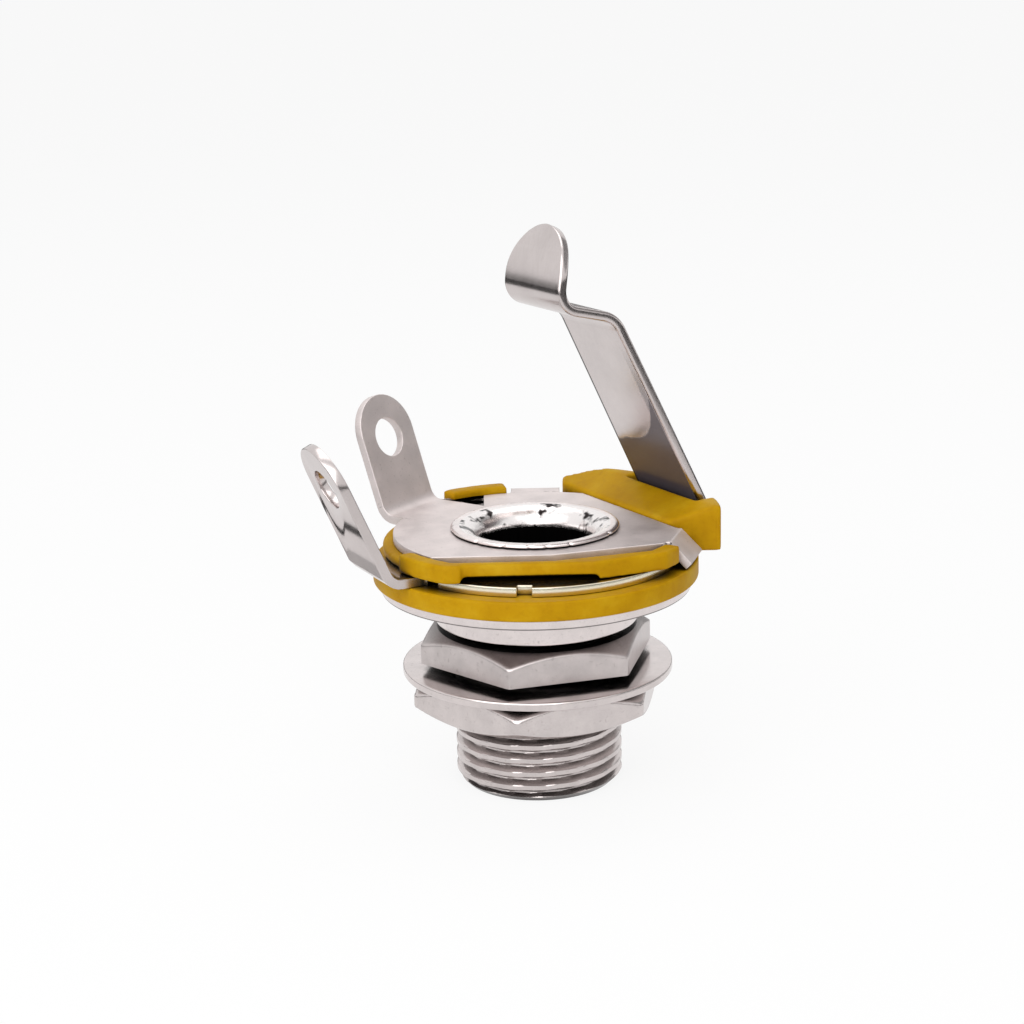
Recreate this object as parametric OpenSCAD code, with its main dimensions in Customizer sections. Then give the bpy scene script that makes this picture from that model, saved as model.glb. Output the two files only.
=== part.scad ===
// Open-frame quarter inch phone jack for one plug contact and a sleeve.
// Origin: centre of the bushing's mouth. +Z runs along the bore to the
// terminals, +X points from the bore axis to the tip spring. Millimetres.

/* [Bushing] */
// Diameter of the bore that takes the plug
bore_d = 6.45; // [6.4:0.05:6.6]
// Outside diameter of the thread
thread_d = 9.525; // [9.3:0.025:9.6]
// Length of the threaded shank below the collar
thread_len = 9.6; // [9.2:0.05:12]
// Chamfer on the end of the thread
thread_chamfer = 0.45; // [0.2:0.05:0.6]
// Diameter of the plain collar above the thread
collar_d = 11.6; // [11.2:0.1:12]
// Height of the collar
collar_h = 1.85; // [1:0.05:2.5]
// How far the flange stands out past the upper insulator's base
flange_lip = 0.2; // [0.1:0.05:0.4]
// Thickness of the flange
flange_t = 0.6; // [0.5:0.05:1]
// Diameter of the tube through the stack
tube_d = 8.5; // [8.3:0.1:8.7]
// Diameter of the rolled rim
rim_d = 9.55; // [9.3:0.05:9.9]
// Radius of the rim's rolled edge
rim_round = 0.15; // [0.15:0.01:0.25]
// Diameter of the flare at the top of the bore
flare_d = 8.3; // [7.6:0.1:8.5]
// Depth of the flare
flare_depth = 0.75; // [0.5:0.05:1]
// Diameter of the small chamfer at the mouth
mouth_d = 7.2; // [6.9:0.1:7.6]

/* [Insulators] */
// How far the lower insulator stands out past the flange
lower_ins_lip = 0.4; // [0.2:0.05:0.8]
// Thickness of the lower insulator
lower_ins_t = 1.1; // [0.8:0.05:1.5]
// How far the upper insulator's base stands out past the ground plate
base_lip = 0.6; // [0.5:0.05:0.7]
// Thickness of the upper insulator's base
upper_ins_t = 0.55; // [0.5:0.05:1]
// Diameter of the hub inside the tip plate
hub_d = 10.4; // [10:0.1:11]
// How far the guard block round the spring's foot stands out past the tip plate
guard_lip = 2.2; // [2.2:0.05:2.6]
// Height of the guard block above the base
guard_h = 1.55; // [1:0.05:2]
// Height of the guard's inner edge above the base
guard_step = 0.7; // [0.55:0.05:0.9]
// Width of the slope between the guard's inner edge and its top
guard_ramp = 2.3; // [1.8:0.1:2.5]
// Distance of the guard's straight wall from the axis
guard_wall = 6.4; // [6.3:0.05:6.8]
// Plan angle from the spring to the guard's end at the front tab
guard_front_angle = 32; // [28:1:34]
// Plan angle from the spring to the guard's end at the rear tab
guard_rear_angle = 49; // [44:1:50]
// Height of the rear rib above the base
rib_h = 0.9; // [0.7:0.05:1.4]
// How far the rib stands out past the base
rib_out = 0.55; // [0.4:0.05:0.6]
// Plan angle where the rib starts
rib_start_angle = 70; // [70:1:74]
// Plan angle where the rib ends
rib_end_angle = 95; // [90:1:95]
// Plan angle of the flat front
front_angle = -121; // [-123:1:-119]
// How far the front lip stands out past the base
lip_out = 0.4; // [0.3:0.05:0.5]
// Plan angle where the front lip starts, at the tip lug
lip_start_angle = -178; // [-180:1:-174]
// Plan angle where the front lip ends, at the front tab
lip_end_angle = -60; // [-62:1:-56]
// Distance of the lip's flat front face from the axis
lip_front = 7.5; // [7.4:0.05:7.6]
// Distance of the lip's flat side face from the axis
lip_side = 7.9; // [7.8:0.05:8]
// Plan angle from the front face to the side face
lip_side_turn = 23; // [21:1:25]
// Distance of the lip's straight inner faces from the axis
lip_inner = 6.65; // [6.5:0.05:6.8]
// How far the middle of the lip is set back
lip_set = 0.2; // [0.1:0.05:0.3]
// Distance of the inner wall of the slot under the lip from the axis
slot_wall = 6.4; // [6.2:0.05:6.6]
// Height of the slot
slot_h = 0.33; // [0.3:0.01:0.4]
// Width of the slot
slot_w = 7.4; // [7:0.1:8]
// How far the slot lies beside the middle of the front
slot_shift = 0.4; // [0.2:0.05:0.6]

/* [Sheet metal] */
// Thickness of the tip contact's sheet
tip_t = 0.55; // [0.45:0.05:0.6]
// Thickness of the ground plate's sheet
ground_t = 0.5; // [0.45:0.05:0.6]
// How far the tip plate's edge lies inside the upper insulator's base
tip_plate_inset = 0.3; // [0.2:0.05:0.5]
// Diameter of the ground plate
ground_d = 16; // [15.6:0.1:16.4]
// Distance of the ground plate's two straight front edges from the axis
ground_front = 5.65; // [5.4:0.05:5.9]
// Plan angle from the first front edge to the second
ground_turn = 16; // [14:1:18]
// Width of the two bent tabs of the ground plate
tab_w = 2.9; // [2.3:0.1:3]
// Height that the tabs bend down
tab_drop = 1.1; // [0.9:0.05:1.15]
// Distance that the tabs' ends reach outwards
tab_reach = 1.1; // [0.9:0.05:1.2]
// How far the front tab's bend lies outside the ground plate's edge
front_tab_out = 0.05; // [0:0.05:0.3]
// How far the rear tab's bend lies outside the ground plate's edge
rear_tab_out = 0.85; // [0.7:0.05:1]
// Plan angle of the front tab
front_tab_angle = -47.5; // [-49:0.5:-46]
// Plan angle of the rear tab
rear_tab_angle = 58; // [57:0.5:59]
// Width of the small notches in the tip plate's edge
notch_w = 0.8; // [0.6:0.1:1]
// Depth of the notches
notch_depth = 0.5; // [0.3:0.05:0.7]

/* [Solder lugs] */
// Width of the solder lugs
lug_w = 4.6; // [4:0.1:5.2]
// Diameter of the wire holes
lug_hole_d = 2.3; // [1.8:0.1:2.5]
// Length of the ground lug along its slope
ground_lug_len = 7; // [6:0.1:7.5]
// Outward lean of the ground lug
ground_lug_lean = 19; // [10:1:25]
// Length of the tip lug along its slope
tip_lug_len = 8.4; // [7.5:0.1:8.8]
// Outward lean of the tip lug
tip_lug_lean = 24; // [20:1:30]
// Bend radius at the foot of the lugs
lug_bend = 1; // [0.8:0.1:1.2]
// Distance of the wire holes below the middle of the round ends
lug_hole_drop = 0.25; // [0:0.05:0.5]
// How far the ground lug's bend lies outside the ground plate's edge
ground_lug_out = 1.1; // [1:0.05:1.3]
// How far the tip lug's bend lies outside the tip plate's edge
tip_lug_out = 1.6; // [1.4:0.05:1.8]
// Plan angle of the ground lug
ground_lug_angle = 113; // [113:0.5:116]
// Plan angle of the tip lug
tip_lug_angle = 176; // [172:1:180]

/* [Tip spring] */
// Width of the spring at its foot
spring_foot_w = 6.4; // [6.2:0.1:6.6]
// Width of the spring at its rounded end
spring_end_w = 5.7; // [5.4:0.1:6.2]
// Inward lean of the spring's leg
spring_lean = 27; // [26:0.5:28]
// Height where the leg turns in
spring_elbow_z = 26.45; // [26:0.05:26.7]
// Top of the spring
spring_top_z = 31.8; // [31.4:0.1:32.2]
// How far the leg's bend lies outside the tip plate's edge
spring_foot_out = 2.15; // [2.1:0.05:2.2]
// Bend radius at the foot of the leg
spring_foot_bend = 0.6; // [0.5:0.05:0.7]
// Height of the flex line above the tip plate
spring_cut_h = 0.95; // [0.9:0.05:1]
// Rise of the shelf towards the axis
shelf_lean = 15.5; // [14:0.5:17]
// Distance of the nose from the bore axis
nose_x = 0.18; // [0:0.02:0.3]
// Outward lean of the rounded end
nose_lean = 12.5; // [10:0.5:14]
// Bend radius where the leg turns in
elbow_bend = 0.7; // [0.5:0.05:0.9]
// Bend radius of the nose
nose_bend = 0.9; // [0.7:0.05:1.1]

/* [Nuts and washer] */
// Width of the back nut across its flats
back_nut_af = 11.9; // [11.8:0.1:12.4]
// Thickness of the back nut
back_nut_t = 1.75; // [1.6:0.05:1.85]
// Height of the back nut's lower face
back_nut_z = 7.45; // [7.4:0.05:7.5]
// Turn of the back nut
back_nut_turn = 45; // [0:1:59]
// Width of the front nut across its flats
front_nut_af = 13; // [12.4:0.1:13.2]
// Thickness of the front nut
front_nut_t = 2.1; // [1.8:0.05:2.2]
// Turn of the front nut
front_nut_turn = 49; // [0:1:59]
// Diameter of the washer
washer_d = 15.4; // [15:0.1:16]
// Thickness of the washer
washer_t = 0.5; // [0.4:0.05:0.55]
// Height of the washer's lower face
washer_z = 6.5; // [6.4:0.05:6.5]
// How much smaller than the flats a nut's chamfer circle is
nut_rim = 0.5; // [0.3:0.1:0.6]
// Angle of a nut's chamfer
nut_chamfer_angle = 30; // [25:1:30]

/* [Clearances] */
// Radial gap between the thread and the nuts
nut_gap = 0.08; // [0.06:0.01:0.1]
// Radial gap between the thread and the washer
washer_gap = 0.09; // [0.06:0.01:0.1]
// Radial gap between fixed pieces of the stack
stack_gap = 0.05; // [0.03:0.01:0.1]
// Gap beside the spring's leg in the guard
spring_gap = 0.35; // [0.3:0.05:0.4]
// Gap between the moulding and the bent tabs
tab_gap = 0.2; // [0.15:0.05:0.25]

/* [Hidden] */
$fn = 96;
over = 1;
bend_steps = 5;
nut_sides = 6;
// how far a chamfer's cone runs past the nut's corners
cone_past = 0.1;
// plan angles of the notches in the tip plate's edge
notch_angles = [-126, -164];
bore_r = bore_d / 2;
thread_r = thread_d / 2;
tube_r = tube_d / 2;
rim_r = rim_d / 2;
hub_r = hub_d / 2;
ground_r = ground_d / 2;
upper_ins_r = ground_r + base_lip;
rib_r = upper_ins_r + rib_out;
lip_r = upper_ins_r + lip_out;
tip_plate_r = upper_ins_r - tip_plate_inset;
guard_r = tip_plate_r + guard_lip;
flange_r = upper_ins_r + flange_lip;
lower_ins_r = flange_r + lower_ins_lip;
// a length that reaches right across the stack
span = 2 * guard_r;
collar_z = thread_len;
flange_z = collar_z + collar_h;
lower_ins_z = flange_z + flange_t;
tip_z = lower_ins_z + lower_ins_t;
tip_mid = tip_z + tip_t / 2;
upper_ins_z = tip_z + tip_t;
ground_z = upper_ins_z + upper_ins_t;
ground_mid = ground_z + ground_t / 2;
ground_top = ground_z + ground_t;
// the two bent tabs: plan angle and distance of the bend from the axis
tabs = [[front_tab_angle, ground_r + front_tab_out], [rear_tab_angle, ground_r + rear_tab_out]];
guard_top = ground_z + guard_h;
rim_top = ground_top + 2 * rim_round;
// the spring: where its leg's line meets the plate, and the corners of its fold
spring_corner = [tip_plate_r + spring_foot_out, tip_mid];
spring_cut_z = upper_ins_z + spring_cut_h;
elbow = leg_at(spring_elbow_z);
nose = [nose_x, spring_elbow_z + (elbow[0] - nose_x) * tan(shelf_lean)];
spring_end = [nose_x + (spring_top_z - nose[1]) * tan(nose_lean), spring_top_z];

// a point on the leg's centre line
function leg_at(z) = [spring_corner[0] - (z - tip_mid) * tan(spring_lean), z];

// centre of the arc of radius r that rounds the corner b between a and c
function unit(v) = v / norm(v);
function half_angle(a, b, c) = acos(unit(a - b) * unit(c - b)) / 2;
function arc_centre(a, b, c, r) = b + unit(unit(a - b) + unit(c - b)) * r / sin(half_angle(a, b, c));
function run_in(a, b, c, r) = b + unit(a - b) * r / tan(half_angle(a, b, c));
function bearing(v) = atan2(v[1], v[0]);
function short_turn(d) = d > 180 ? d - 360 : d < -180 ? d + 360 : d;

// points of that arc, from the side of a to the side of c
function bend(a, b, c, r) =
  let (m = arc_centre(a, b, c, r))
  let (from = bearing(run_in(a, b, c, r) - m))
  let (step = short_turn(bearing(run_in(c, b, a, r) - m) - from) / bend_steps)
  [for (i = [0 : bend_steps]) m + r * [cos(from + step * i), sin(from + step * i)]];

module ring(r_out, r_in, z, h) {
  difference() {
    translate([0, 0, z]) cylinder(r = r_out, h = h);
    translate([0, 0, z - over]) cylinder(r = r_in, h = h + 2 * over);
  }
}

// a plan polygon made solid between two heights
module slab(points, z, h) {
  translate([0, 0, z]) linear_extrude(height = h) polygon(points);
}

// a bent strip: the centre line lies in the XZ plane, the width along Y
module strip(path, t, w) {
  rotate([90, 0, 0]) translate([0, 0, -w / 2]) linear_extrude(height = w) strip_side(path, t);
}

module strip_side(path, t) {
  for (i = [0 : len(path) - 2]) {
    run = path[i + 1] - path[i];
    translate(path[i]) rotate(atan2(run[1], run[0])) translate([0, -t / 2]) square([norm(run), t]);
  }
  for (i = [1 : len(path) - 2]) {
    translate(path[i]) circle(d = t);
  }
}

// a sector of a plan disc, wide enough to cut any ring of the stack
module sector(from, to, z, h) {
  r = span;
  rim = [for (a = [from, (from + to) / 2, to]) r * [cos(a), sin(a)]];
  slab(concat([[0, 0]], rim), z, h);
}

// a box that starts at a distance from the axis and runs outwards, moved sideways by shift
module outward(angle, start, w, z, h, shift = 0) {
  rotate([0, 0, angle]) translate([start, shift - w / 2, z]) cube([span, w, h]);
}

// a flat solder lug in its own plane: it starts at the origin and rises along the slope
module lug(length, t, lean) {
  rotate([0, lean - 90, 0]) translate([0, 0, -t / 2]) linear_extrude(height = t) difference() {
    union() {
      translate([0, -lug_w / 2]) square([length - lug_w / 2, lug_w]);
      translate([length - lug_w / 2, 0]) circle(d = lug_w);
    }
    translate([length - lug_w / 2 - lug_hole_drop, 0]) circle(d = lug_hole_d);
  }
}

// the sheet from inside a plate out to a lug, with the lug
module lug_arm(angle, start, corner, mid_z, length, t, lean) {
  a = [start, mid_z];
  b = [corner, mid_z];
  c = b + [sin(lean), cos(lean)] * length;
  path = concat([a], bend(a, b, c, lug_bend));
  foot = path[len(path) - 1];
  rotate([0, 0, angle]) {
    strip(path, t, lug_w);
    translate([foot[0], 0, foot[1]]) lug(norm(c - foot), t, lean);
  }
}

module bushing() {
  color([0.78, 0.76, 0.74]) difference() {
    union() {
      rotate_extrude() polygon([[0, 0], [thread_r - thread_chamfer, 0], [thread_r, thread_chamfer],
        [thread_r, collar_z], [collar_d / 2, collar_z], [collar_d / 2, flange_z], [flange_r, flange_z],
        [flange_r, lower_ins_z], [tube_r, lower_ins_z], [tube_r, ground_top],
        [rim_r - rim_round, ground_top], [rim_r - rim_round, rim_top], [0, rim_top]]);
      rotate_extrude() translate([rim_r - rim_round, ground_top + rim_round]) circle(r = rim_round);
    }
    translate([0, 0, -over]) cylinder(r = bore_r, h = rim_top + 2 * over);
    cylinder(r1 = mouth_d / 2, r2 = bore_r, h = mouth_d / 2 - bore_r);
    translate([0, 0, rim_top - flare_depth]) cylinder(r1 = bore_r, r2 = flare_d / 2, h = flare_depth);
  }
}

module lower_insulator() {
  color([0.8, 0.6, 0.12]) ring(lower_ins_r, tube_r + stack_gap, lower_ins_z, lower_ins_t);
}

module tip_terminal() {
  foot_end = leg_at(spring_cut_z);
  foot_start = [hub_r + over, tip_mid];
  color([0.78, 0.76, 0.74]) difference() {
    union() {
      ring(tip_plate_r, hub_r + stack_gap, tip_z, tip_t);
      strip(concat([foot_start], bend(foot_start, spring_corner, foot_end, spring_foot_bend), [foot_end]),
        tip_t, spring_foot_w);
      lug_arm(tip_lug_angle, hub_r + over, tip_plate_r + tip_lug_out, tip_mid, tip_lug_len,
        tip_t, tip_lug_lean);
    }
    for (a = notch_angles) {
      outward(a, tip_plate_r - notch_depth, notch_w, tip_z - over, tip_t + 2 * over);
    }
  }
}

module tip_spring() {
  foot = leg_at(spring_cut_z);
  leg = concat([foot], bend(foot, elbow, nose, elbow_bend));
  path = concat(leg, bend(elbow, nose, spring_end, nose_bend), [spring_end]);
  round_z = spring_top_z - spring_end_w / 2;
  color([0.78, 0.76, 0.74]) intersection() {
    strip(path, tip_t, spring_foot_w + over);
    rotate([90, 0, 90]) translate([0, 0, -over]) linear_extrude(height = spring_corner[0] + 2 * over) {
      polygon([[-spring_foot_w / 2, spring_cut_z - over], [spring_foot_w / 2, spring_cut_z - over],
        [spring_end_w / 2, round_z], [-spring_end_w / 2, round_z]]);
      translate([0, round_z]) circle(d = spring_end_w);
    }
  }
}

// the lip in front of the ground plate, level with the plate's top
module front_lip() {
  tall = upper_ins_t + ground_t;
  difference() {
    intersection() {
      translate([0, 0, upper_ins_z]) cylinder(r = lip_r, h = tall);
      sector(lip_start_angle, lip_end_angle, upper_ins_z, tall);
    }
    difference() {
      translate([0, 0, ground_z]) cylinder(r = ground_r + stack_gap, h = tall);
      outward(front_angle, lip_inner, span, ground_z - over, 2 * tall + over);
      outward(front_angle + ground_turn, lip_inner, span, ground_z - over, 2 * tall + over);
    }
  }
}

module upper_insulator() {
  guard_z = upper_ins_z;
  tall = guard_top - guard_z;
  leg_face = leg_at(guard_top)[0] - tip_t / 2 / cos(spring_lean);
  color([0.8, 0.6, 0.12]) difference() {
    union() {
      translate([0, 0, upper_ins_z]) cylinder(r = upper_ins_r, h = upper_ins_t);
      translate([0, 0, tip_z]) cylinder(r = hub_r, h = tip_t);
      intersection() {
        translate([0, 0, guard_z]) cylinder(r = guard_r, h = tall);
        sector(-guard_front_angle, guard_rear_angle, guard_z, tall);
        rotate([90, 0, 0]) translate([0, 0, -span]) linear_extrude(height = 2 * span)
          polygon([[guard_wall, guard_z], [span, guard_z], [span, guard_top],
            [guard_wall + guard_ramp, guard_top], [guard_wall, ground_z + guard_step]]);
      }
      intersection() {
        ring(guard_r, tip_plate_r + tab_gap, tip_z, tip_t);
        sector(-guard_front_angle, guard_rear_angle, tip_z, tip_t);
      }
      intersection() {
        ring(rib_r, ground_r + stack_gap, guard_z, upper_ins_t + rib_h);
        sector(rib_start_angle, rib_end_angle, guard_z, upper_ins_t + rib_h);
      }
      front_lip();
    }
    translate([0, 0, tip_z - over]) cylinder(r = tube_r + stack_gap, h = guard_top);
    outward(0, leg_face - spring_gap, spring_foot_w + 2 * spring_gap, tip_z - over, guard_top);
    outward(0, hub_r + over, spring_foot_w + 2 * spring_gap, tip_z - over, tip_t + over);
    outward(front_angle, lip_front, span, tip_z - over, guard_top);
    outward(front_angle + lip_side_turn, lip_side, span, tip_z - over, guard_top);
    outward(front_angle, lip_front - lip_set, slot_w, tip_z - over, guard_top, -slot_shift);
    outward(front_angle, slot_wall, slot_w, tip_z - over, over + tip_t + slot_h, -slot_shift);
    for (tab = tabs) {
      outward(tab[0], tab[1] - 2 * tab_gap, tab_w + 2 * tab_gap, tip_z - over, guard_top);
    }
  }
}

module ground_terminal() {
  color([0.78, 0.76, 0.74]) difference() {
    union() {
      difference() {
        translate([0, 0, ground_z]) cylinder(r = ground_r, h = ground_t);
        outward(0, guard_wall - stack_gap, 2 * span, ground_z - over, 2 * over);
        outward(front_angle, ground_front, span, ground_z - over, 2 * over);
        outward(front_angle + ground_turn, ground_front, span, ground_z - over, 2 * over);
      }
      lug_arm(ground_lug_angle, tube_r + over, ground_r + ground_lug_out, ground_mid, ground_lug_len,
        ground_t, ground_lug_lean);
      for (tab = tabs) {
        rotate([0, 0, tab[0]]) strip([[tube_r + over, ground_mid], [tab[1], ground_mid],
          [tab[1] + tab_reach, ground_mid - tab_drop]], ground_t, tab_w);
      }
    }
    translate([0, 0, ground_z - over]) cylinder(r = tube_r + stack_gap, h = 2 * over);
  }
}

// a hexagon nut with a cone for the chamfer at each end
module hex_nut(af, t, z, turn, top_d, foot_d) {
  corner_d = af / cos(180 / nut_sides);
  cone_r = corner_d / 2 + cone_past;
  top_h = (cone_r - top_d / 2) * tan(nut_chamfer_angle);
  foot_h = (cone_r - foot_d / 2) * tan(nut_chamfer_angle);
  translate([0, 0, z]) difference() {
    intersection() {
      rotate([0, 0, turn]) cylinder(d = corner_d, h = t, $fn = nut_sides);
      rotate_extrude() polygon([[0, 0], [foot_d / 2, 0], [cone_r, foot_h], [cone_r, t - top_h],
        [top_d / 2, t], [0, t]]);
    }
    translate([0, 0, -over]) cylinder(r = thread_r + nut_gap, h = t + 2 * over);
  }
}

module back_nut() {
  color([0.72, 0.71, 0.7]) hex_nut(back_nut_af, back_nut_t, back_nut_z, back_nut_turn,
    back_nut_af - nut_rim, back_nut_af + nut_rim);
}

module washer() {
  color([0.78, 0.76, 0.74]) ring(washer_d / 2, thread_r + washer_gap, washer_z, washer_t);
}

module front_nut() {
  color([0.78, 0.76, 0.74]) hex_nut(front_nut_af, front_nut_t, washer_z - front_nut_t, front_nut_turn,
    front_nut_af - nut_rim, front_nut_af - nut_rim);
}

bushing();
lower_insulator();
tip_terminal();
tip_spring();
upper_insulator();
ground_terminal();
back_nut();
washer();
front_nut();
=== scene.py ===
import math

import bpy
from mathutils import Matrix, Vector


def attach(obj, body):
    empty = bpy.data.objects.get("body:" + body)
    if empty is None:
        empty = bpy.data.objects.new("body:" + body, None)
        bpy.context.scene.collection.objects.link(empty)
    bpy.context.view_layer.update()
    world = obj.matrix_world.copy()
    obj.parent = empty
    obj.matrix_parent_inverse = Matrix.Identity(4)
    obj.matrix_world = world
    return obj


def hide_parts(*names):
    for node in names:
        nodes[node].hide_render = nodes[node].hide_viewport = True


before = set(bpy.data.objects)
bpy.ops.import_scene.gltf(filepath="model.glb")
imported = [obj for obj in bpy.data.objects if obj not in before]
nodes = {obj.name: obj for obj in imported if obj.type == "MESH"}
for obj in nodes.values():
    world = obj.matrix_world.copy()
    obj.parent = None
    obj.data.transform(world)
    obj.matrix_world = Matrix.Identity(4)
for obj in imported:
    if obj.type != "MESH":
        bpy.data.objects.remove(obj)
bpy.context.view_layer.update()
scene = bpy.context.scene
MM = 0.001

# sizes in millimetres, the same as the solids'
THREAD_R = 4.7625
THREAD_LEN = 9.6
THREAD_CHAMFER = 0.45
BORE_R = 3.225
MOUTH_R = 3.6
COLLAR_R = 5.8
COLLAR_TOP = 11.45
FLANGE_R = 8.8
FLANGE_TOP = 12.05
TUBE_R = 4.25
GROUND_TOP = 14.75
RIM_R = 4.775
RIM_TOP = 15.02

# the bushing's finer forms
PITCH = 0.79375
THREAD_DEPTH = 0.43
CREST_SHARE = 0.34
ROOT_SHARE = 0.86
ROWS_PER_TURN = 16
COLUMNS = 240
ANGLES = [2 * math.pi * k / COLUMNS for k in range(COLUMNS)]
EDGE = 0.1
EDGE_MID = EDGE * 0.3
LIP_HALF_W = 0.29
LIP_HALF_H = 0.12
LIP_START = -150
LIP_SWEEP = 240
LIP_STEPS = 14
LIP_WAVE = 0.008
LIP_DIP = 0.005
FLARE_START_R = 4.4
FLARE_FOOT_Z = 13.9
FLARE_STEPS = 14
FLARE_WAVE = 0.014
CRACK_ANGLES = (-164.5, -143.5, -125.5, -113.5, -97.5, -60.0, 22.0, 108.0, 151.0)
CRACK_DEPTH = 0.15
CRACK_WIDTH = 1.6
CRACK_LEAN = 0.3
# share, number and start of the waves round the lip and the flare
WAVES = ((1.0, 7, 0.8), (0.7, 12, 2.1), (0.5, 19, 0.0))

# the tip spring's centre line, as (x, z), and its widths
SPRING_FOOT = (9.826, 14.65)
SPRING_ELBOW = (3.74, 26.66)
SPRING_NOSE = (0.18, 27.53)
SPRING_SPOON = (0.48, 29.6)
SPRING_END = (1.4, 31.67)
SPRING_T = 0.55
SPRING_FOOT_W = 6.4
SPRING_END_W = 5.7
SPRING_ROUND_Z = SPRING_END[1] - SPRING_END_W / 2
ELBOW_BEND = 1.7
NOSE_BEND = 1.15
SPOON_BEND = 6.0
STRIP_EDGE = 0.16
BEND_STEPS = 16
END_STEPS = 26
CORNER_STEPS = 4

# discs: inner radius, outer radius, foot and top
LOWER_INSULATOR = (4.3, 9.2, FLANGE_TOP, 13.15)
INSULATOR_EDGE = 0.14
WASHER = (4.8525, 7.7, 6.5, 7.0)
WASHER_EDGE = 0.12

# nuts: flats, bore radius, foot, top, turn, and the chamfer circles at the top and the foot
BACK_NUT = (11.9, 4.8425, 7.45, 9.2, 45, 11.4, 14.2)
FRONT_NUT = (13.0, 4.8425, 4.4, 6.5, 49, 12.5, 12.5)
NUT_CHAMFER = 30
NUT_ROWS = 28
NUT_WEAR = 0.05
NUT_LEAD = 0.2
NUT_FACE = 4 * NUT_LEAD

# modifiers: lengths in mm, areas in square mm, angles in degrees
WELD = 0.05
SLIVER = 0.0005
FLAT_ANGLE = 1.0
BEVEL_WIDTH = 0.06
BEVEL_ANGLE = 28
BEVEL_STEPS = 3
MOULD_CELL = 0.11
MOULD_SHARE = 0.5
MOULD_STEPS = 14
SHARP_SHEET = 20
SHARP_TURNED = 40
SHARP_ROUND = 60

# colours
WHITE = (1, 1, 1)
NICKEL = (0.605, 0.55, 0.54)
RIM_NICKEL = (0.86, 0.82, 0.81)
RIM_BLOTCH = (0.025, 0.02, 0.02)
# the bore's wall: painted shade
BORE_SHADE = (0.002, 0.0018, 0.0018)
AMBER = (0.47, 0.255, 0.002)
AMBER_DARK = (0.42, 0.215, 0.001)
AMBER_PALE = (0.53, 0.315, 0.01)
# the tip plate's edge: a painted pale reflection of the amber
EDGE_AMBER_REFLECTION = (0.86, 0.8, 0.64)
# the leaf's painted dark reflections: over the foot and one side, and on the far edge
LEAF_REFLECTION = (0.08, 0.068, 0.08)
FAR_EDGE_REFLECTION = (0.02, 0.016, 0.014)

# depth of the materials' relief, in metres
GRAIN_RELIEF = 2e-6
RESIN_RELIEF = 5e-6
CRACK_RELIEF = 2e-5
RESIN_SCATTER = (0.0006, 0.0003, 0.0001)

# crevices, darkened with painted shade: the width of its fade and its tint
PAINTED_SHADE_FADE = 0.43
PAINTED_SHADE_TINT = (1.0, 0.9, 0.85)

# where masks change from 0 to 1, in mm: the tip plate's painted pale reflection of the amber
AMBER_REFLECTION_R = (8.75, 8.6)
AMBER_REFLECTION_Z = (13.78, 13.72)

# the leaf's painted dark reflection, in mm: it stands for what the metal mirrors in the photograph
LEAF_TAPER = (SPRING_FOOT_W - SPRING_END_W) / 2 / (SPRING_ROUND_Z - SPRING_FOOT[1])
LEAF_HALF_W = SPRING_FOOT_W / 2 + LEAF_TAPER * SPRING_FOOT[1]
LEAF_REFLECTION_TOP = (18.75, 18.6)
LEAF_REFLECTION_TILT = -0.2
LEAF_REFLECTION_CLOUD = 0.6
LEAF_REFLECTION_CURVE = 0.3
LEAF_REFLECTION_SIDE_Y = (-2.15, -2.4)
LEAF_REFLECTION_SIDE_Z = (25.5, 21.5)
LEAF_REFLECTION_SIDE_SHARE = 0.55
LEAF_REFLECTION_NEAR = (0.14, 0.2)
FAR_SIDE = (-0.32, -0.24)
FAR_TOP = (26.6, 26.2)
INNER_FACE = (-0.2, -0.5)

# the camera of the photograph, in metres and degrees
EYE = Vector((-0.064076, -0.104172, 0.048434))
AZIMUTH = math.radians(31)
TILT = math.radians(15)
RIGHT = Vector((math.cos(AZIMUTH), -math.sin(AZIMUTH), 0.0))
LEVEL = Vector((math.sin(AZIMUTH), math.cos(AZIMUTH), 0.0))
AHEAD = LEVEL * math.cos(TILT) - Vector((0, 0, math.sin(TILT)))
UP = LEVEL * math.sin(TILT) + Vector((0, 0, math.cos(TILT)))
ROLL = math.radians(1.3)
SENSOR = 36.0
LENS = 79.1
CLIP_START = 0.01
CLIP_END = 10.0

# the studio, in metres, degrees and watts
FLOOR = (0.9, 0.9, 0.9)
FLOOR_GLOW = 0.88
FLOOR_HALF = 1.5
WORLD_LIGHT = 0.55
CARD_ROUGH = 0.9
CARD_BLACK = (0.01, 0.01, 0.01, 1)
CARD_GREY = (0.5, 0.5, 0.5, 1)
BAND_SIDES = 24
BAND_R = 0.35
BAND_HIGH = 0.03
RUG_R = 0.115
RUG_Z = 0.0002
SIDE_R = 0.4
SIDE_LOW = 0.1
SIDE_HIGH = 0.4
SIDE_FROM = math.radians(-50)
SIDE_TO = math.radians(20)
KEY_AT = EYE * 1.2 - RIGHT * 0.05 + Vector((0, 0, 0.05))
KEY_SIZE = (0.26, 0.22)
KEY_POWER = 0.28
TOP_AT = Vector((0.03, 0.05, 0.25))
TOP_SIZE = (0.2, 0.2)
TOP_POWER = 0.16
LAMP_AIM = Vector((0, 0, 0.016))


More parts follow.
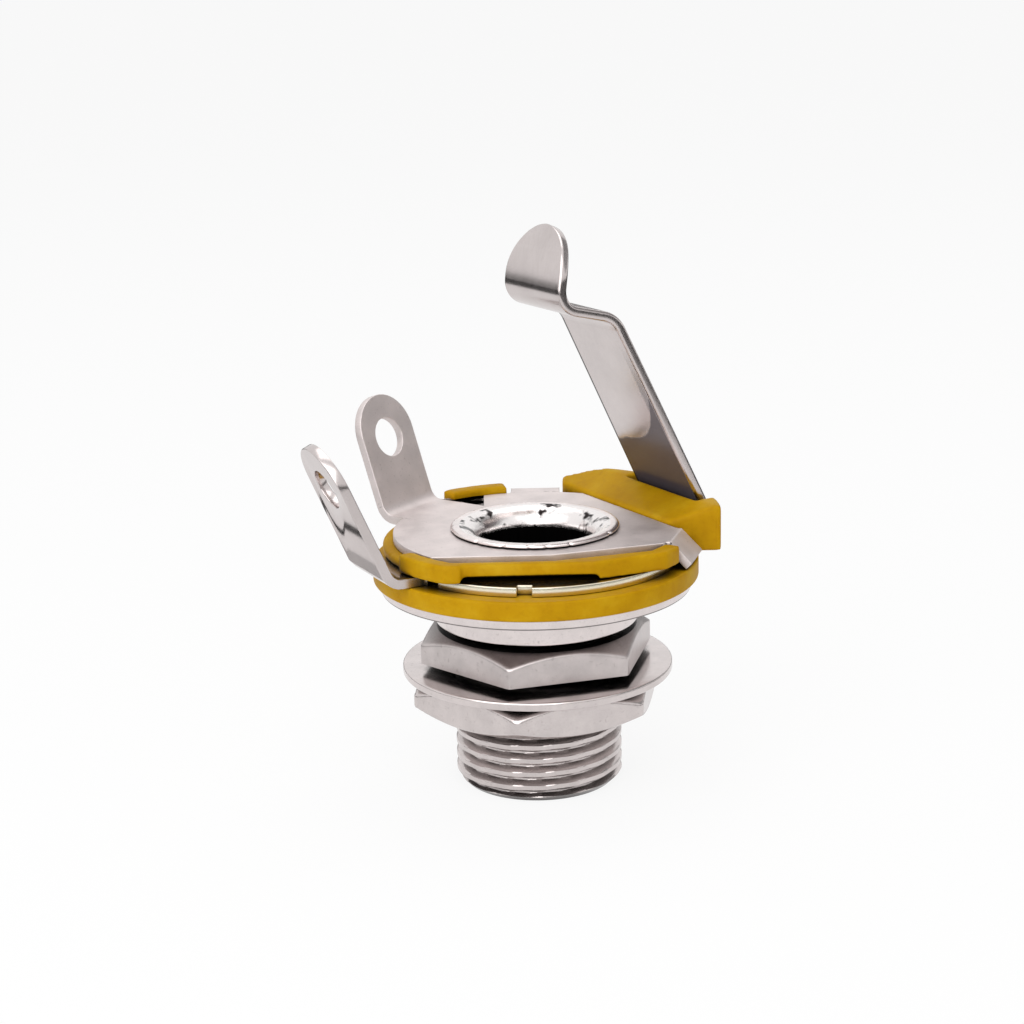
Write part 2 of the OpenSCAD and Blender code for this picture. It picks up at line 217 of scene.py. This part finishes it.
class Nodes:
    """A material's node tree, with short calls that add and link nodes."""

    def __init__(self, name, **sockets):
        self.mat = bpy.data.materials.new(name)
        self.mat.use_nodes = True
        self.tree = self.mat.node_tree
        self.bsdf = self.tree.nodes["Principled BSDF"]
        for key, value in sockets.items():
            self.bsdf.inputs[key.replace("_", " ")].default_value = value

    def add(self, kind, inputs=None, **props):
        node = self.tree.nodes.new(kind)
        for key, value in props.items():
            setattr(node, key, value)
        for key, value in (inputs or {}).items():
            if hasattr(value, "is_output"):
                self.tree.links.new(value, node.inputs[key])
            else:
                node.inputs[key].default_value = value
        return node

    def coords(self, scale=(1, 1, 1)):
        pos = self.add("ShaderNodeTexCoord").outputs["Object"]
        return self.add("ShaderNodeMapping", {"Vector": pos, "Scale": scale}).outputs["Vector"]

    def place(self):
        """x, y and z of a point in mm."""
        point = self.coords((1 / MM, 1 / MM, 1 / MM))
        return self.add("ShaderNodeSeparateXYZ", {"Vector": point}).outputs

    def noise(self, vector, scale, detail=4.0, roughness=0.55):
        inputs = {"Vector": vector, "Scale": scale, "Detail": detail, "Roughness": roughness}
        return self.add("ShaderNodeTexNoise", inputs).outputs["Fac"]

    def ramp(self, fac, stops):
        made = self.add("ShaderNodeValToRGB", {"Fac": fac})
        points = made.color_ramp.elements
        while len(points) < len(stops):
            points.new(0.5)
        for point, (at, colour) in zip(points, stops):
            point.position = at
            point.color = (*colour, 1.0)
        return made.outputs["Color"]

    def span(self, fac, low, high):
        inputs = {"Value": fac, "To Min": low, "To Max": high}
        return self.add("ShaderNodeMapRange", inputs).outputs["Result"]

    def step(self, value, start, end):
        """0 at start and before it, 1 at end and past it, with a soft change between them."""
        inputs = {"Value": value, "From Min": start, "From Max": end}
        made = self.add("ShaderNodeMapRange", inputs, interpolation_type="SMOOTHSTEP")
        return made.outputs["Result"]

    def math(self, kind, a, b):
        return self.add("ShaderNodeMath", {0: a, 1: b}, operation=kind).outputs[0]

    def multiply(self, a, b):
        """The product of two colours."""
        inputs = {0: 1.0, 6: a, 7: b}
        return self.add("ShaderNodeMix", inputs, data_type="RGBA", blend_type="MULTIPLY").outputs[2]

    def blend(self, a, colour, share):
        inputs = {0: share, 6: a, 7: (*colour, 1.0)}
        return self.add("ShaderNodeMix", inputs, data_type="RGBA").outputs[2]

    def bump(self, height, strength, distance):
        inputs = {"Height": height, "Strength": strength, "Distance": distance}
        return self.add("ShaderNodeBump", inputs).outputs["Normal"]

    def colour(self, value, painted_shade_share, reach, clear=0.55):
        """The base colour, darkened in crevices by painted shade.

        The argument after value is the share of colour that the painted shade leaves in the deepest
        ones, reach their width in mm, and clear the openness from which a point gets no painted shade.
        """
        near = {"Distance": reach * MM}
        openness = self.add("ShaderNodeAmbientOcclusion", near, samples=8).outputs["AO"]
        deepest = tuple(painted_shade_share * c for c in PAINTED_SHADE_TINT)
        shade = self.ramp(openness, [(clear - PAINTED_SHADE_FADE, deepest), (clear, WHITE)])
        self.set("Base Color", self.multiply(value, shade))

    def set(self, socket, value):
        self.tree.links.new(value, self.bsdf.inputs[socket])


def times(colour, k):
    return tuple(min(1.0, c * k) for c in colour)


def plated(name, base, rough, grain=6500.0, mottle=0.1, scratch=0.2, reach=2.4, clear=0.55):
    """Nickel plate: cloudy colour, dark pin specks, painted shade in crevices, and a fine grain in
    gloss and relief.
    """
    m = Nodes(name, Metallic=1.0)
    cloud = m.noise(m.coords(), scale=700.0, roughness=0.6)
    fine = m.noise(m.coords(), scale=grain, detail=5.0, roughness=0.65)
    tint = m.ramp(cloud, [(0.3, times(base, 1 - mottle)), (0.7, times(base, 1 + mottle / 2))])
    specks = m.ramp(fine, [(0.27, (0.72, 0.7, 0.7)), (0.4, WHITE)])
    m.colour(m.multiply(tint, specks), 0.03, reach, clear)
    m.set("Roughness", m.span(cloud, rough * 0.75, rough * 1.25))
    m.set("Normal", m.bump(fine, scratch, GRAIN_RELIEF))
    return m.mat


def rolled(name, base, rough):
    """Plated strip with faint rolling marks along z: its nodes, cloud and colour so far."""
    m = Nodes(name, Metallic=1.0)
    streak = m.noise(m.coords((1, 1, 0.05)), scale=5200.0, roughness=0.6)
    cloud = m.noise(m.coords(), scale=420.0, detail=3.0)
    tint = m.ramp(cloud, [(0.3, times(base, 0.93)), (0.7, times(base, 1.03))])
    marks = m.ramp(streak, [(0.3, (0.96, 0.955, 0.955)), (0.55, WHITE)])
    m.set("Roughness", m.span(streak, rough * 0.8, rough * 1.25))
    m.set("Normal", m.bump(streak, 0.06, GRAIN_RELIEF))
    return m, cloud, m.multiply(tint, marks)


def rolled_terminal(name, base, rough):
    """Rolled strip, with painted shade in crevices and a painted pale reflection of the amber where it
    lies between the insulators.
    """
    m, _, metal = rolled(name, base, rough)
    x, y, z = m.place()
    flat = m.add("ShaderNodeCombineXYZ", {"X": x, "Y": y}).outputs[0]
    r = m.add("ShaderNodeVectorMath", {0: flat}, operation="LENGTH").outputs["Value"]
    inside = m.math("MULTIPLY", m.step(r, *AMBER_REFLECTION_R), m.step(z, *AMBER_REFLECTION_Z))
    m.colour(m.blend(metal, EDGE_AMBER_REFLECTION, inside), 0.03, 1.2)
    return m.mat


def rolled_leaf(name, base, rough):
    """Rolled strip, with painted shade in crevices and a painted dark reflection on its inner face:
    over the foot, one side and the far edge.
    """
    m, cloud, metal = rolled(name, base, rough)
    _, y, z = m.place()
    half = m.math("ADD", m.math("MULTIPLY", z, -LEAF_TAPER), LEAF_HALF_W)
    right = m.math("MINIMUM", y, 0.0)
    curve = m.math("MULTIPLY", m.math("MULTIPLY", right, right), LEAF_REFLECTION_CURVE)
    tilt = m.math("MULTIPLY", y, LEAF_REFLECTION_TILT)
    border = m.math("ADD", m.math("ADD", tilt, m.math("MULTIPLY", cloud, LEAF_REFLECTION_CLOUD)), curve)
    foot = m.step(m.math("SUBTRACT", z, border), *LEAF_REFLECTION_TOP)
    side = m.math("MULTIPLY", m.step(y, *LEAF_REFLECTION_SIDE_Y), m.step(z, *LEAF_REFLECTION_SIDE_Z))
    near = m.step(m.math("ADD", y, half), *LEAF_REFLECTION_NEAR)
    both = m.math("MAXIMUM", foot, m.math("MULTIPLY", side, LEAF_REFLECTION_SIDE_SHARE))
    beyond = m.step(m.math("SUBTRACT", y, half), *FAR_SIDE)
    normal = m.add("ShaderNodeTexCoord").outputs["Normal"]
    facing = m.add("ShaderNodeSeparateXYZ", {"Vector": normal}).outputs["X"]
    inner = m.step(facing, *INNER_FACE)
    painted_reflection = m.math("MULTIPLY", m.math("MULTIPLY", both, near), inner)
    far = m.math("MULTIPLY", m.math("MULTIPLY", beyond, m.step(z, *FAR_TOP)), inner)
    m.colour(m.blend(m.blend(metal, LEAF_REFLECTION, painted_reflection), FAR_EDGE_REFLECTION, far), 0.1, 0.5)
    # where the dark reflection is painted, the strip is not metal
    m.set("Metallic", m.math("SUBTRACT", 1.0, m.math("MAXIMUM", painted_reflection, far)))
    return m.mat


def amber(name):
    """Moulded amber resin: cloudy colour, darker specks, painted shade in crevices and a satin skin."""
    m = Nodes(name, Specular_IOR_Level=0.06, Subsurface_Weight=0.06, Subsurface_Radius=RESIN_SCATTER)
    cloud = m.noise(m.coords(), scale=520.0)
    fibre = m.noise(m.coords(), scale=3000.0, detail=5.0, roughness=0.65)
    tone = m.ramp(cloud, [(0.28, AMBER_DARK), (0.5, AMBER), (0.75, AMBER_PALE)])
    specks = m.ramp(fibre, [(0.32, (0.93, 0.9, 0.84)), (0.5, WHITE)])
    m.colour(m.multiply(tone, specks), 0.02, 1.6)
    m.set("Roughness", m.span(fibre, 0.38, 0.56))
    m.set("Normal", m.bump(fibre, 0.15, RESIN_RELIEF))
    return m.mat


def blotched(name, base, dark_blotch):
    """The rolled end: bright metal with dark blotches."""
    m = Nodes(name, Metallic=1.0)
    patch = m.noise(m.coords((1, 1, 1.3)), scale=1000.0, detail=2.2)
    fine = m.noise(m.coords(), scale=5200.0)
    m.set("Base Color", m.ramp(patch, [(0.38, dark_blotch), (0.415, times(base, 0.55)), (0.46, base)]))
    m.set("Roughness", m.span(fine, 0.16, 0.34))
    m.set("Normal", m.bump(patch, 0.2, CRACK_RELIEF))
    return m.mat


def painted_shade_wall(name, colour):
    """The wall of the bore: painted shade, as dark as the photograph shows it, with drawn marks along
    it.
    """
    m = Nodes(name, Specular_IOR_Level=0.0)
    streak = m.noise(m.coords((1, 1, 0.06)), scale=4200.0)
    m.set("Base Color", m.ramp(streak, [(0.3, times(colour, 0.6)), (0.7, times(colour, 1.3))]))
    m.set("Roughness", m.span(streak, 0.45, 0.65))
    return m.mat


mat_bushing = plated("bushing_nickel", times(NICKEL, 1.22), 0.22)
mat_thread = plated("thread_nickel", times(NICKEL, 1.05), 0.24, scratch=0.3)
mat_flare = blotched("flare_nickel", RIM_NICKEL, RIM_BLOTCH)
mat_lip = plated("lip_nickel", times(NICKEL, 1.4), 0.26, mottle=0.16, reach=0.3)
# a darker copy of the nickel: painted shade on the flange's lower edge
mat_line = plated("shaded_edge", times(NICKEL, 0.42), 0.4)
mat_bore = painted_shade_wall("bore_painted_shade", BORE_SHADE)
mat_contact = rolled_leaf("leaf_nickel", NICKEL, 0.2)
mat_terminal = rolled_terminal("terminal_nickel", NICKEL, 0.2)
mat_plate = plated("ground_nickel", times(NICKEL, 1.12), 0.56, reach=1.1)
mat_back_nut = plated("back_nut_nickel", NICKEL, 0.34, grain=3200.0, mottle=0.16, scratch=0.7,
                      reach=4.0, clear=0.68)
mat_front_nut = plated("front_nut_nickel", times(NICKEL, 1.05), 0.24, reach=3.0)
mat_washer = plated("washer_nickel", times(NICKEL, 1.1), 0.2, reach=3.2)
mat_amber = amber("amber_resin")

PLAIN, THREAD, FLARE, BORE, LIP, LINE = range(6)
BUSHING_MATS = (mat_bushing, mat_thread, mat_flare, mat_bore, mat_lip, mat_line)


def put(obj, *mats):
    obj.data.materials.clear()
    for mat in mats:
        obj.data.materials.append(mat)


def grid_piece(name, rows, mats, faces_mat, close_rows):
    """A mesh from rings of points: each ring closes on itself, and rings join in order."""
    n = len(rows[0])
    verts = [(x * MM, y * MM, z * MM) for row in rows for x, y, z in row]
    faces = []
    picks = []
    last = len(rows) if close_rows else len(rows) - 1
    for i in range(last):
        a, b = i * n, (i + 1) % len(rows) * n
        for k in range(n):
            j = (k + 1) % n
            faces.append((a + k, a + j, b + j, b + k))
            picks.append(faces_mat[i])
    if not close_rows:
        faces.append(tuple(reversed(range(n))))
        faces.append(tuple(range(len(verts) - n, len(verts))))
        picks += [faces_mat[0], faces_mat[-1]]
    mesh = bpy.data.meshes.new(name)
    mesh.from_pydata(verts, [], faces)
    mesh.polygons.foreach_set("use_smooth", [True] * len(faces))
    mesh.update()
    obj = bpy.data.objects.new(name, mesh)
    scene.collection.objects.link(obj)
    put(obj, *mats)
    mesh.polygons.foreach_set("material_index", picks)
    return obj


def polar(r, a, z):
    return r * math.cos(a), r * math.sin(a), z


def circle(r, z):
    return [polar(r, a, z) for a in ANGLES]


def node_group(name):
    """An empty node group for a modifier, with its input and output nodes."""
    group = bpy.data.node_groups.new(name, "GeometryNodeTree")
    for way in ("INPUT", "OUTPUT"):
        group.interface.new_socket("Geometry", in_out=way, socket_type="NodeSocketGeometry")
    return group, group.nodes.new("NodeGroupInput"), group.nodes.new("NodeGroupOutput")


def smooth_group(angle):
    """A modifier's node group: every face smooth, edges above the angle sharp."""
    group, start, end = node_group(f"smooth_{angle}")
    add, link = group.nodes.new, group.links.new
    plain = add("GeometryNodeRemoveAttribute")
    plain.inputs["Name"].default_value = "custom_normal"
    faces, edges = add("GeometryNodeSetShadeSmooth"), add("GeometryNodeSetShadeSmooth")
    edges.domain = "EDGE"
    edges.inputs["Shade Smooth"].default_value = False
    bent = add("GeometryNodeInputMeshEdgeAngle")
    sharp = add("FunctionNodeCompare")
    sharp.operation = "GREATER_THAN"
    sharp.inputs["B"].default_value = math.radians(angle)
    link(bent.outputs["Unsigned Angle"], sharp.inputs["A"])
    link(start.outputs[0], plain.inputs["Geometry"])
    link(plain.outputs["Geometry"], faces.inputs["Geometry"])
    link(faces.outputs[0], edges.inputs["Geometry"])
    link(sharp.outputs["Result"], edges.inputs["Selection"])
    link(edges.outputs[0], end.inputs[0])
    return group


def sliver_group():
    """A modifier's node group that drops faces with almost no area."""
    group, start, end = node_group("slivers")
    add, link = group.nodes.new, group.links.new
    area = add("GeometryNodeInputMeshFaceArea")
    small = add("FunctionNodeCompare")
    small.operation = "LESS_THAN"
    small.inputs["B"].default_value = SLIVER * MM * MM
    drop = add("GeometryNodeDeleteGeometry")
    drop.domain = "FACE"
    link(area.outputs["Area"], small.inputs["A"])
    link(start.outputs[0], drop.inputs["Geometry"])
    link(small.outputs["Result"], drop.inputs["Selection"])
    link(drop.outputs["Geometry"], end.inputs[0])
    return group


SMOOTH = {angle: smooth_group(angle) for angle in (SHARP_SHEET, SHARP_TURNED, SHARP_ROUND)}
SLIVERS = sliver_group()


def mould(obj):
    """Modifiers that give a solid the rounded edges of a moulding."""
    skin = obj.modifiers.new("skin", "REMESH")
    skin.mode = "VOXEL"
    skin.voxel_size = MOULD_CELL * MM
    skin.use_smooth_shade = True
    soft = obj.modifiers.new("soft", "SMOOTH")
    soft.factor = MOULD_SHARE
    soft.iterations = MOULD_STEPS


def round_edges(obj):
    """Modifiers that clean a solid's triangles and round its edges."""
    weld = obj.modifiers.new("weld", "WELD")
    weld.merge_threshold = WELD * MM
    clean = obj.modifiers.new("clean", "NODES")
    clean.node_group = SLIVERS
    flat = obj.modifiers.new("flat", "DECIMATE")
    flat.decimate_type = "DISSOLVE"
    flat.angle_limit = math.radians(FLAT_ANGLE)
    bevel = obj.modifiers.new("bevel", "BEVEL")
    bevel.width = BEVEL_WIDTH * MM
    bevel.segments = BEVEL_STEPS
    bevel.limit_method = "ANGLE"
    bevel.angle_limit = math.radians(BEVEL_ANGLE)
    bevel.use_clamp_overlap = False
    bevel.miter_outer = "MITER_ARC"


def shade(obj, angle):
    """Modifiers for smooth shading that keeps edges above the angle sharp."""
    smooth = obj.modifiers.new("smooth", "NODES")
    smooth.node_group = SMOOTH[angle]
    normals = obj.modifiers.new("normals", "WEIGHTED_NORMAL")
    normals.keep_sharp = True


def thread_cut(z, angle):
    """Depth of the thread below its crest at a height and plan angle."""
    u = (z / PITCH - angle / (2 * math.pi)) % 1.0
    from_crest = abs(2 * u - 1)
    share = (from_crest - CREST_SHARE) / (ROOT_SHARE - CREST_SHARE)
    return THREAD_DEPTH * min(1.0, max(0.0, share))


def warped(r, z, wave, crack):
    """A ring with waves of a height round it, and notches of a depth at the cracks."""
    row = []
    for a in ANGLES:
        push = wave * sum(share * math.sin(count * a + start) for share, count, start in WAVES)
        near = min(abs((math.degrees(a) - c + 180) % 360 - 180) for c in CRACK_ANGLES)
        push -= crack * max(0.0, 1 - near / CRACK_WIDTH)
        row.append(polar(r + push, a, z))
    return row


def thread_rows():
    """Rings up the thread, with the chamfer at its end."""
    steps = round(THREAD_LEN / PITCH * ROWS_PER_TURN)
    rows = []
    for i in range(steps + 1):
        z = THREAD_LEN * i / steps
        most = THREAD_R - max(0.0, THREAD_CHAMFER - z)
        rows.append([polar(min(most, THREAD_R - thread_cut(z, a)), a, z) for a in ANGLES])
    return rows


def lip_rows():
    """Rings over the rolled lip."""
    lip_r = RIM_R - LIP_HALF_W - 2 * LIP_WAVE
    lip_z = RIM_TOP - LIP_HALF_H
    rows = []
    for i in range(LIP_STEPS + 1):
        t = math.radians(LIP_START + LIP_SWEEP * i / LIP_STEPS)
        r = lip_r + LIP_HALF_W * math.cos(t)
        z = lip_z + LIP_HALF_H * math.sin(t)
        crack = CRACK_DEPTH * max(0.0, math.cos(t - CRACK_LEAN))
        rows.append(warped(r, z, LIP_WAVE, crack))
    return rows


def flare_rows():
    """Rings down the flare, from the lip to the bore."""
    rows = []
    for i in range(1, FLARE_STEPS + 1):
        t = math.pi / 2 * i / FLARE_STEPS
        r = FLARE_START_R - (FLARE_START_R - BORE_R) * math.sin(t)
        z = FLARE_FOOT_Z + (RIM_TOP - FLARE_FOOT_Z - LIP_DIP) * math.cos(t)
        rows.append(warped(r, z, FLARE_WAVE * math.sin(2 * t), 0.0))
    return rows


def make_bushing():
    """The turned bushing: real thread, soft edges, rolled lip and flare, open bore."""
    collar_and_flange = (
        (COLLAR_R - 2 * EDGE, THREAD_LEN, PLAIN),
        (COLLAR_R - EDGE, THREAD_LEN, PLAIN),
        (COLLAR_R - EDGE_MID, THREAD_LEN + EDGE_MID, PLAIN),
        (COLLAR_R, THREAD_LEN + EDGE, PLAIN),
        (COLLAR_R, COLLAR_TOP, PLAIN),
        (FLANGE_R - 2 * EDGE, COLLAR_TOP, PLAIN),
        (FLANGE_R - EDGE, COLLAR_TOP, LINE),
        (FLANGE_R - EDGE_MID, COLLAR_TOP + EDGE_MID, LINE),
        (FLANGE_R, COLLAR_TOP + EDGE, PLAIN),
        (FLANGE_R, FLANGE_TOP - EDGE, PLAIN),
        (FLANGE_R - EDGE, FLANGE_TOP, PLAIN),
        (TUBE_R, FLANGE_TOP, PLAIN),
        (TUBE_R, GROUND_TOP - EDGE, PLAIN),
        (TUBE_R + EDGE, GROUND_TOP + EDGE / 3, PLAIN),
    )
    bore = (
        (BORE_R, GROUND_TOP / 2, BORE),
        (BORE_R, MOUTH_R - BORE_R, PLAIN),
        (MOUTH_R, 0.0, PLAIN),
    )
    # a pick is the material of the faces from a ring to the next
    rows = thread_rows()
    picks = [THREAD] * (len(rows) - 1) + [PLAIN]
    rows += [circle(r, z) for r, z, pick in collar_and_flange]
    picks += [pick for r, z, pick in collar_and_flange]
    rows += lip_rows()
    picks += [LIP] * (LIP_STEPS + 1)
    rows += flare_rows()
    picks += [FLARE] * (FLARE_STEPS - 1) + [BORE]
    rows += [circle(r, z) for r, z, pick in bore]
    picks += [pick for r, z, pick in bore]
    piece = grid_piece("bushing_turned", rows, BUSHING_MATS, picks, True)
    shade(piece, SHARP_TURNED)
    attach(piece, "jack")
    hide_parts("bushing")


def arc(a, b, c, r):
    """Points of the arc of radius r that rounds the corner b of the path a, b, c."""
    a, b, c = Vector(a), Vector(b), Vector(c)
    u, v = (a - b).normalized(), (c - b).normalized()
    half = u.angle(v) / 2
    middle = b + (u + v).normalized() * r / math.sin(half)
    first = b + u * r / math.tan(half) - middle
    last = b + v * r / math.tan(half) - middle
    sweep = first.angle_signed(last)
    turns = [Matrix.Rotation(-sweep * i / BEND_STEPS, 2) for i in range(BEND_STEPS + 1)]
    return [middle + turn @ first for turn in turns]


def spring_path():
    """The leaf's centre line, with closer points towards its round end."""
    path = [Vector(SPRING_FOOT)]
    path += arc(SPRING_FOOT, SPRING_ELBOW, SPRING_NOSE, ELBOW_BEND)
    path += arc(SPRING_ELBOW, SPRING_NOSE, SPRING_SPOON, NOSE_BEND)
    path += arc(SPRING_NOSE, SPRING_SPOON, SPRING_END, SPOON_BEND)
    rise = (Vector(SPRING_END) - path[-1]).normalized()
    for i in range(END_STEPS + 1):
        z = SPRING_ROUND_Z + SPRING_END_W / 2 * math.sin(math.pi / 2 * i / END_STEPS)
        if z > path[-1].y:
            path.append(path[-1] + rise * (z - path[-1].y) / rise.y)
    return path


def spring_half_width(z):
    """Half the leaf's width at a height: a taper, then a half circle."""
    foot_z = SPRING_FOOT[1]
    share = min(1.0, (z - foot_z) / (SPRING_ROUND_Z - foot_z))
    half = (SPRING_FOOT_W + (SPRING_END_W - SPRING_FOOT_W) * share) / 2
    if z > SPRING_ROUND_Z:
        half = math.sqrt(max(0.0, (SPRING_END_W / 2) ** 2 - (z - SPRING_ROUND_Z) ** 2))
    return max(half, STRIP_EDGE)


def make_spring():
    """The leaf of the tip contact as one swept strip with rounded edges and a round end."""
    path = spring_path()
    thick = SPRING_T / 2
    rows = []
    for i, p in enumerate(path):
        along = (path[min(i + 1, len(path) - 1)] - path[max(i - 1, 0)]).normalized()
        out = Vector((along.y, -along.x))
        half = spring_half_width(p.y)
        row = []
        for quarter, (sy, st) in enumerate(((1, 1), (-1, 1), (-1, -1), (1, -1))):
            for k in range(CORNER_STEPS + 1):
                t = math.pi / 2 * (quarter + k / CORNER_STEPS)
                y = sy * (half - STRIP_EDGE) + STRIP_EDGE * math.cos(t)
                o = st * (thick - STRIP_EDGE) + STRIP_EDGE * math.sin(t)
                row.append((p.x + out.x * o, y, p.y + out.y * o))
        rows.append(row[::-1])
    piece = grid_piece("tip_spring_leaf", rows, (mat_contact,), [0] * len(rows), False)
    shade(piece, SHARP_ROUND)
    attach(piece, "spring")
    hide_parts("tip_spring")


def make_disc(name, node, body, mat, size, edge):
    """A flat ring with rounded edges."""
    r_in, r_out, foot, top = size
    corners = (
        (r_out - edge, top - edge),
        (r_in + edge, top - edge),
        (r_in + edge, foot + edge),
        (r_out - edge, foot + edge),
    )
    rows = []
    for quarter, (r, z) in enumerate(corners):
        for k in range(CORNER_STEPS + 1):
            t = math.pi / 2 * (quarter + k / CORNER_STEPS)
            rows.append(circle(r + edge * math.cos(t), z + edge * math.sin(t)))
    piece = grid_piece(name, rows, (mat,), [0] * len(rows), True)
    shade(piece, SHARP_ROUND)
    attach(piece, body)
    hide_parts(node)


def soft_least(values, soft):
    """The least of some lengths, with the corners between them rounded."""
    least = min(values)
    return least - soft * math.log(sum(math.exp((least - v) / soft) for v in values))


def make_nut(name, node, body, mat, size):
    """A hexagon nut with cone chamfers and worn corners, inside the solid of its node."""
    af, bore, foot, top, turn, top_d, foot_d = size
    slope = math.tan(math.radians(NUT_CHAMFER))
    flats = [math.radians(turn + 30 + 60 * k) for k in range(6)]
    rows = []
    for i in range(NUT_ROWS + 1):
        z = foot + (top - foot) * (0.5 - 0.5 * math.cos(math.pi * i / NUT_ROWS))
        cones = [foot_d / 2 + (z - foot) / slope, top_d / 2 + (top - z) / slope]
        row = []
        for a in ANGLES:
            sides = [af / 2 / c for c in (math.cos(a - f) for f in flats) if c > 0.5]
            row.append(polar(soft_least(sides + cones, NUT_WEAR), a, z))
        rows.append(row)
    hole = (
        (bore + NUT_FACE, top),
        (bore + NUT_LEAD, top),
        (bore, top - NUT_LEAD),
        (bore, foot + NUT_LEAD),
        (bore + NUT_LEAD, foot),
        (bore + NUT_FACE, foot),
    )
    rows += [circle(r, z) for r, z in hole]
    piece = grid_piece(name, rows, (mat,), [0] * len(rows), True)
    shade(piece, SHARP_TURNED)
    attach(piece, body)
    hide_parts(node)


make_bushing()
make_spring()
make_disc("lower_insulator_disc", "lower_insulator", "jack", mat_amber,
          LOWER_INSULATOR, INSULATOR_EDGE)
make_disc("washer_disc", "washer", "washer", mat_washer, WASHER, WASHER_EDGE)
make_nut("back_nut_hexagon", "back_nut", "back_nut", mat_back_nut, BACK_NUT)
make_nut("front_nut_hexagon", "front_nut", "front_nut", mat_front_nut, FRONT_NUT)

# the pieces that keep the solids' own meshes
for name, mat in (("tip_terminal", mat_terminal), ("ground_terminal", mat_plate)):
    put(nodes[name], mat)
    round_edges(nodes[name])
    shade(nodes[name], SHARP_SHEET)
put(nodes["upper_insulator"], mat_amber)
mould(nodes["upper_insulator"])


def make_camera():
    """The camera of the photograph."""
    across = RIGHT * math.cos(ROLL) - UP * math.sin(ROLL)
    upright = UP * math.cos(ROLL) + RIGHT * math.sin(ROLL)
    turn = Matrix((across, upright, -AHEAD)).transposed()
    data = bpy.data.cameras.new("camera")
    data.sensor_width = SENSOR
    data.lens = LENS
    data.clip_start = CLIP_START
    data.clip_end = CLIP_END
    camera = bpy.data.objects.new("camera", data)
    scene.collection.objects.link(camera)
    camera.matrix_world = Matrix.Translation(EYE) @ turn.to_4x4()
    scene.camera = camera


def seen_white(tree):
    """1 for the rays that should see the background as white: camera, glossy and transmission."""
    path = tree.nodes.new("ShaderNodeLightPath")
    total = path.outputs["Is Camera Ray"]
    for other in ("Is Glossy Ray", "Is Transmission Ray"):
        more = tree.nodes.new("ShaderNodeMath")
        more.operation = "MAXIMUM"
        tree.links.new(total, more.inputs[0])
        tree.links.new(path.outputs[other], more.inputs[1])
        total = more.outputs[0]
    return total


def floor_material():
    """Pale floor that looks white and still takes a soft shadow."""
    mat = bpy.data.materials.new("floor_white")
    mat.use_nodes = True
    tree = mat.node_tree
    tree.nodes.clear()
    out = tree.nodes.new("ShaderNodeOutputMaterial")
    mix = tree.nodes.new("ShaderNodeMixShader")
    plain = tree.nodes.new("ShaderNodeBsdfDiffuse")
    plain.inputs["Color"].default_value = (*FLOOR, 1)
    glow = tree.nodes.new("ShaderNodeEmission")
    glow.inputs["Color"].default_value = (*WHITE, 1)
    share = tree.nodes.new("ShaderNodeMath")
    share.operation = "MULTIPLY"
    share.inputs[1].default_value = FLOOR_GLOW
    tree.links.new(seen_white(tree), share.inputs[0])
    tree.links.new(share.outputs[0], mix.inputs["Fac"])
    tree.links.new(plain.outputs[0], mix.inputs[1])
    tree.links.new(glow.outputs[0], mix.inputs[2])
    tree.links.new(mix.outputs[0], out.inputs["Surface"])
    return mat


def make_world():
    """Even white surroundings, dimmer as a light than they look."""
    world = bpy.data.worlds.new("studio")
    scene.world = world
    world.use_nodes = True
    tree = world.node_tree
    tree.nodes.clear()
    out = tree.nodes.new("ShaderNodeOutputWorld")
    mix = tree.nodes.new("ShaderNodeMixShader")
    for socket, strength in ((1, WORLD_LIGHT), (2, 1.0)):
        sky = tree.nodes.new("ShaderNodeBackground")
        sky.inputs["Color"].default_value = (*WHITE, 1)
        sky.inputs["Strength"].default_value = strength
        tree.links.new(sky.outputs[0], mix.inputs[socket])
    tree.links.new(seen_white(tree), mix.inputs["Fac"])
    tree.links.new(mix.outputs[0], out.inputs["Surface"])


def card(name, corners, faces, mat):
    """A sheet of the studio."""
    mesh = bpy.data.meshes.new(name)
    mesh.from_pydata(corners, [], faces)
    obj = bpy.data.objects.new(name, mesh)
    scene.collection.objects.link(obj)
    put(obj, mat)
    return obj


def make_cards():
    """The floor, and sheets that are seen only in the metal: a low dark band, a rug and a grey side."""
    one_face = [(0, 1, 2, 3)]
    half = FLOOR_HALF
    corners = [(-half, -half, 0), (half, -half, 0), (half, half, 0), (-half, half, 0)]
    card("floor", corners, one_face, floor_material())
    black = Nodes("card_black", Base_Color=CARD_BLACK, Roughness=CARD_ROUGH).mat
    grey = Nodes("card_grey", Base_Color=CARD_GREY, Roughness=CARD_ROUGH).mat
    n = BAND_SIDES
    turns = [2 * math.pi * k / n for k in range(n)]
    walls = [(k, (k + 1) % n, (k + 1) % n + n, k + n) for k in range(n)]
    band = card("band", [polar(BAND_R, t, z) for z in (0.0, BAND_HIGH) for t in turns], walls, black)
    rug = card("rug", [polar(r, t, RUG_Z) for r in (RUG_R, BAND_R) for t in turns], walls, black)
    ends = ((SIDE_FROM, SIDE_LOW), (SIDE_TO, SIDE_LOW), (SIDE_TO, SIDE_HIGH), (SIDE_FROM, SIDE_HIGH))
    side = card("side_card", [polar(SIDE_R, t, z) for t, z in ends], one_face, grey)
    for sheet in (band, rug, side):
        sheet.visible_camera = False
        sheet.visible_diffuse = False
        sheet.visible_shadow = False


def lamp(name, at, size, power):
    data = bpy.data.lights.new(name, "AREA")
    data.shape = "RECTANGLE"
    data.size, data.size_y = size
    data.energy = power
    obj = bpy.data.objects.new(name, data)
    scene.collection.objects.link(obj)
    obj.location = at
    obj.rotation_mode = "QUATERNION"
    obj.rotation_quaternion = (LAMP_AIM - at).to_track_quat("-Z", "Y")


make_camera()
make_cards()
make_world()
lamp("key", KEY_AT, KEY_SIZE, KEY_POWER)
lamp("top", TOP_AT, TOP_SIZE, TOP_POWER)
scene.view_settings.view_transform = "Standard"
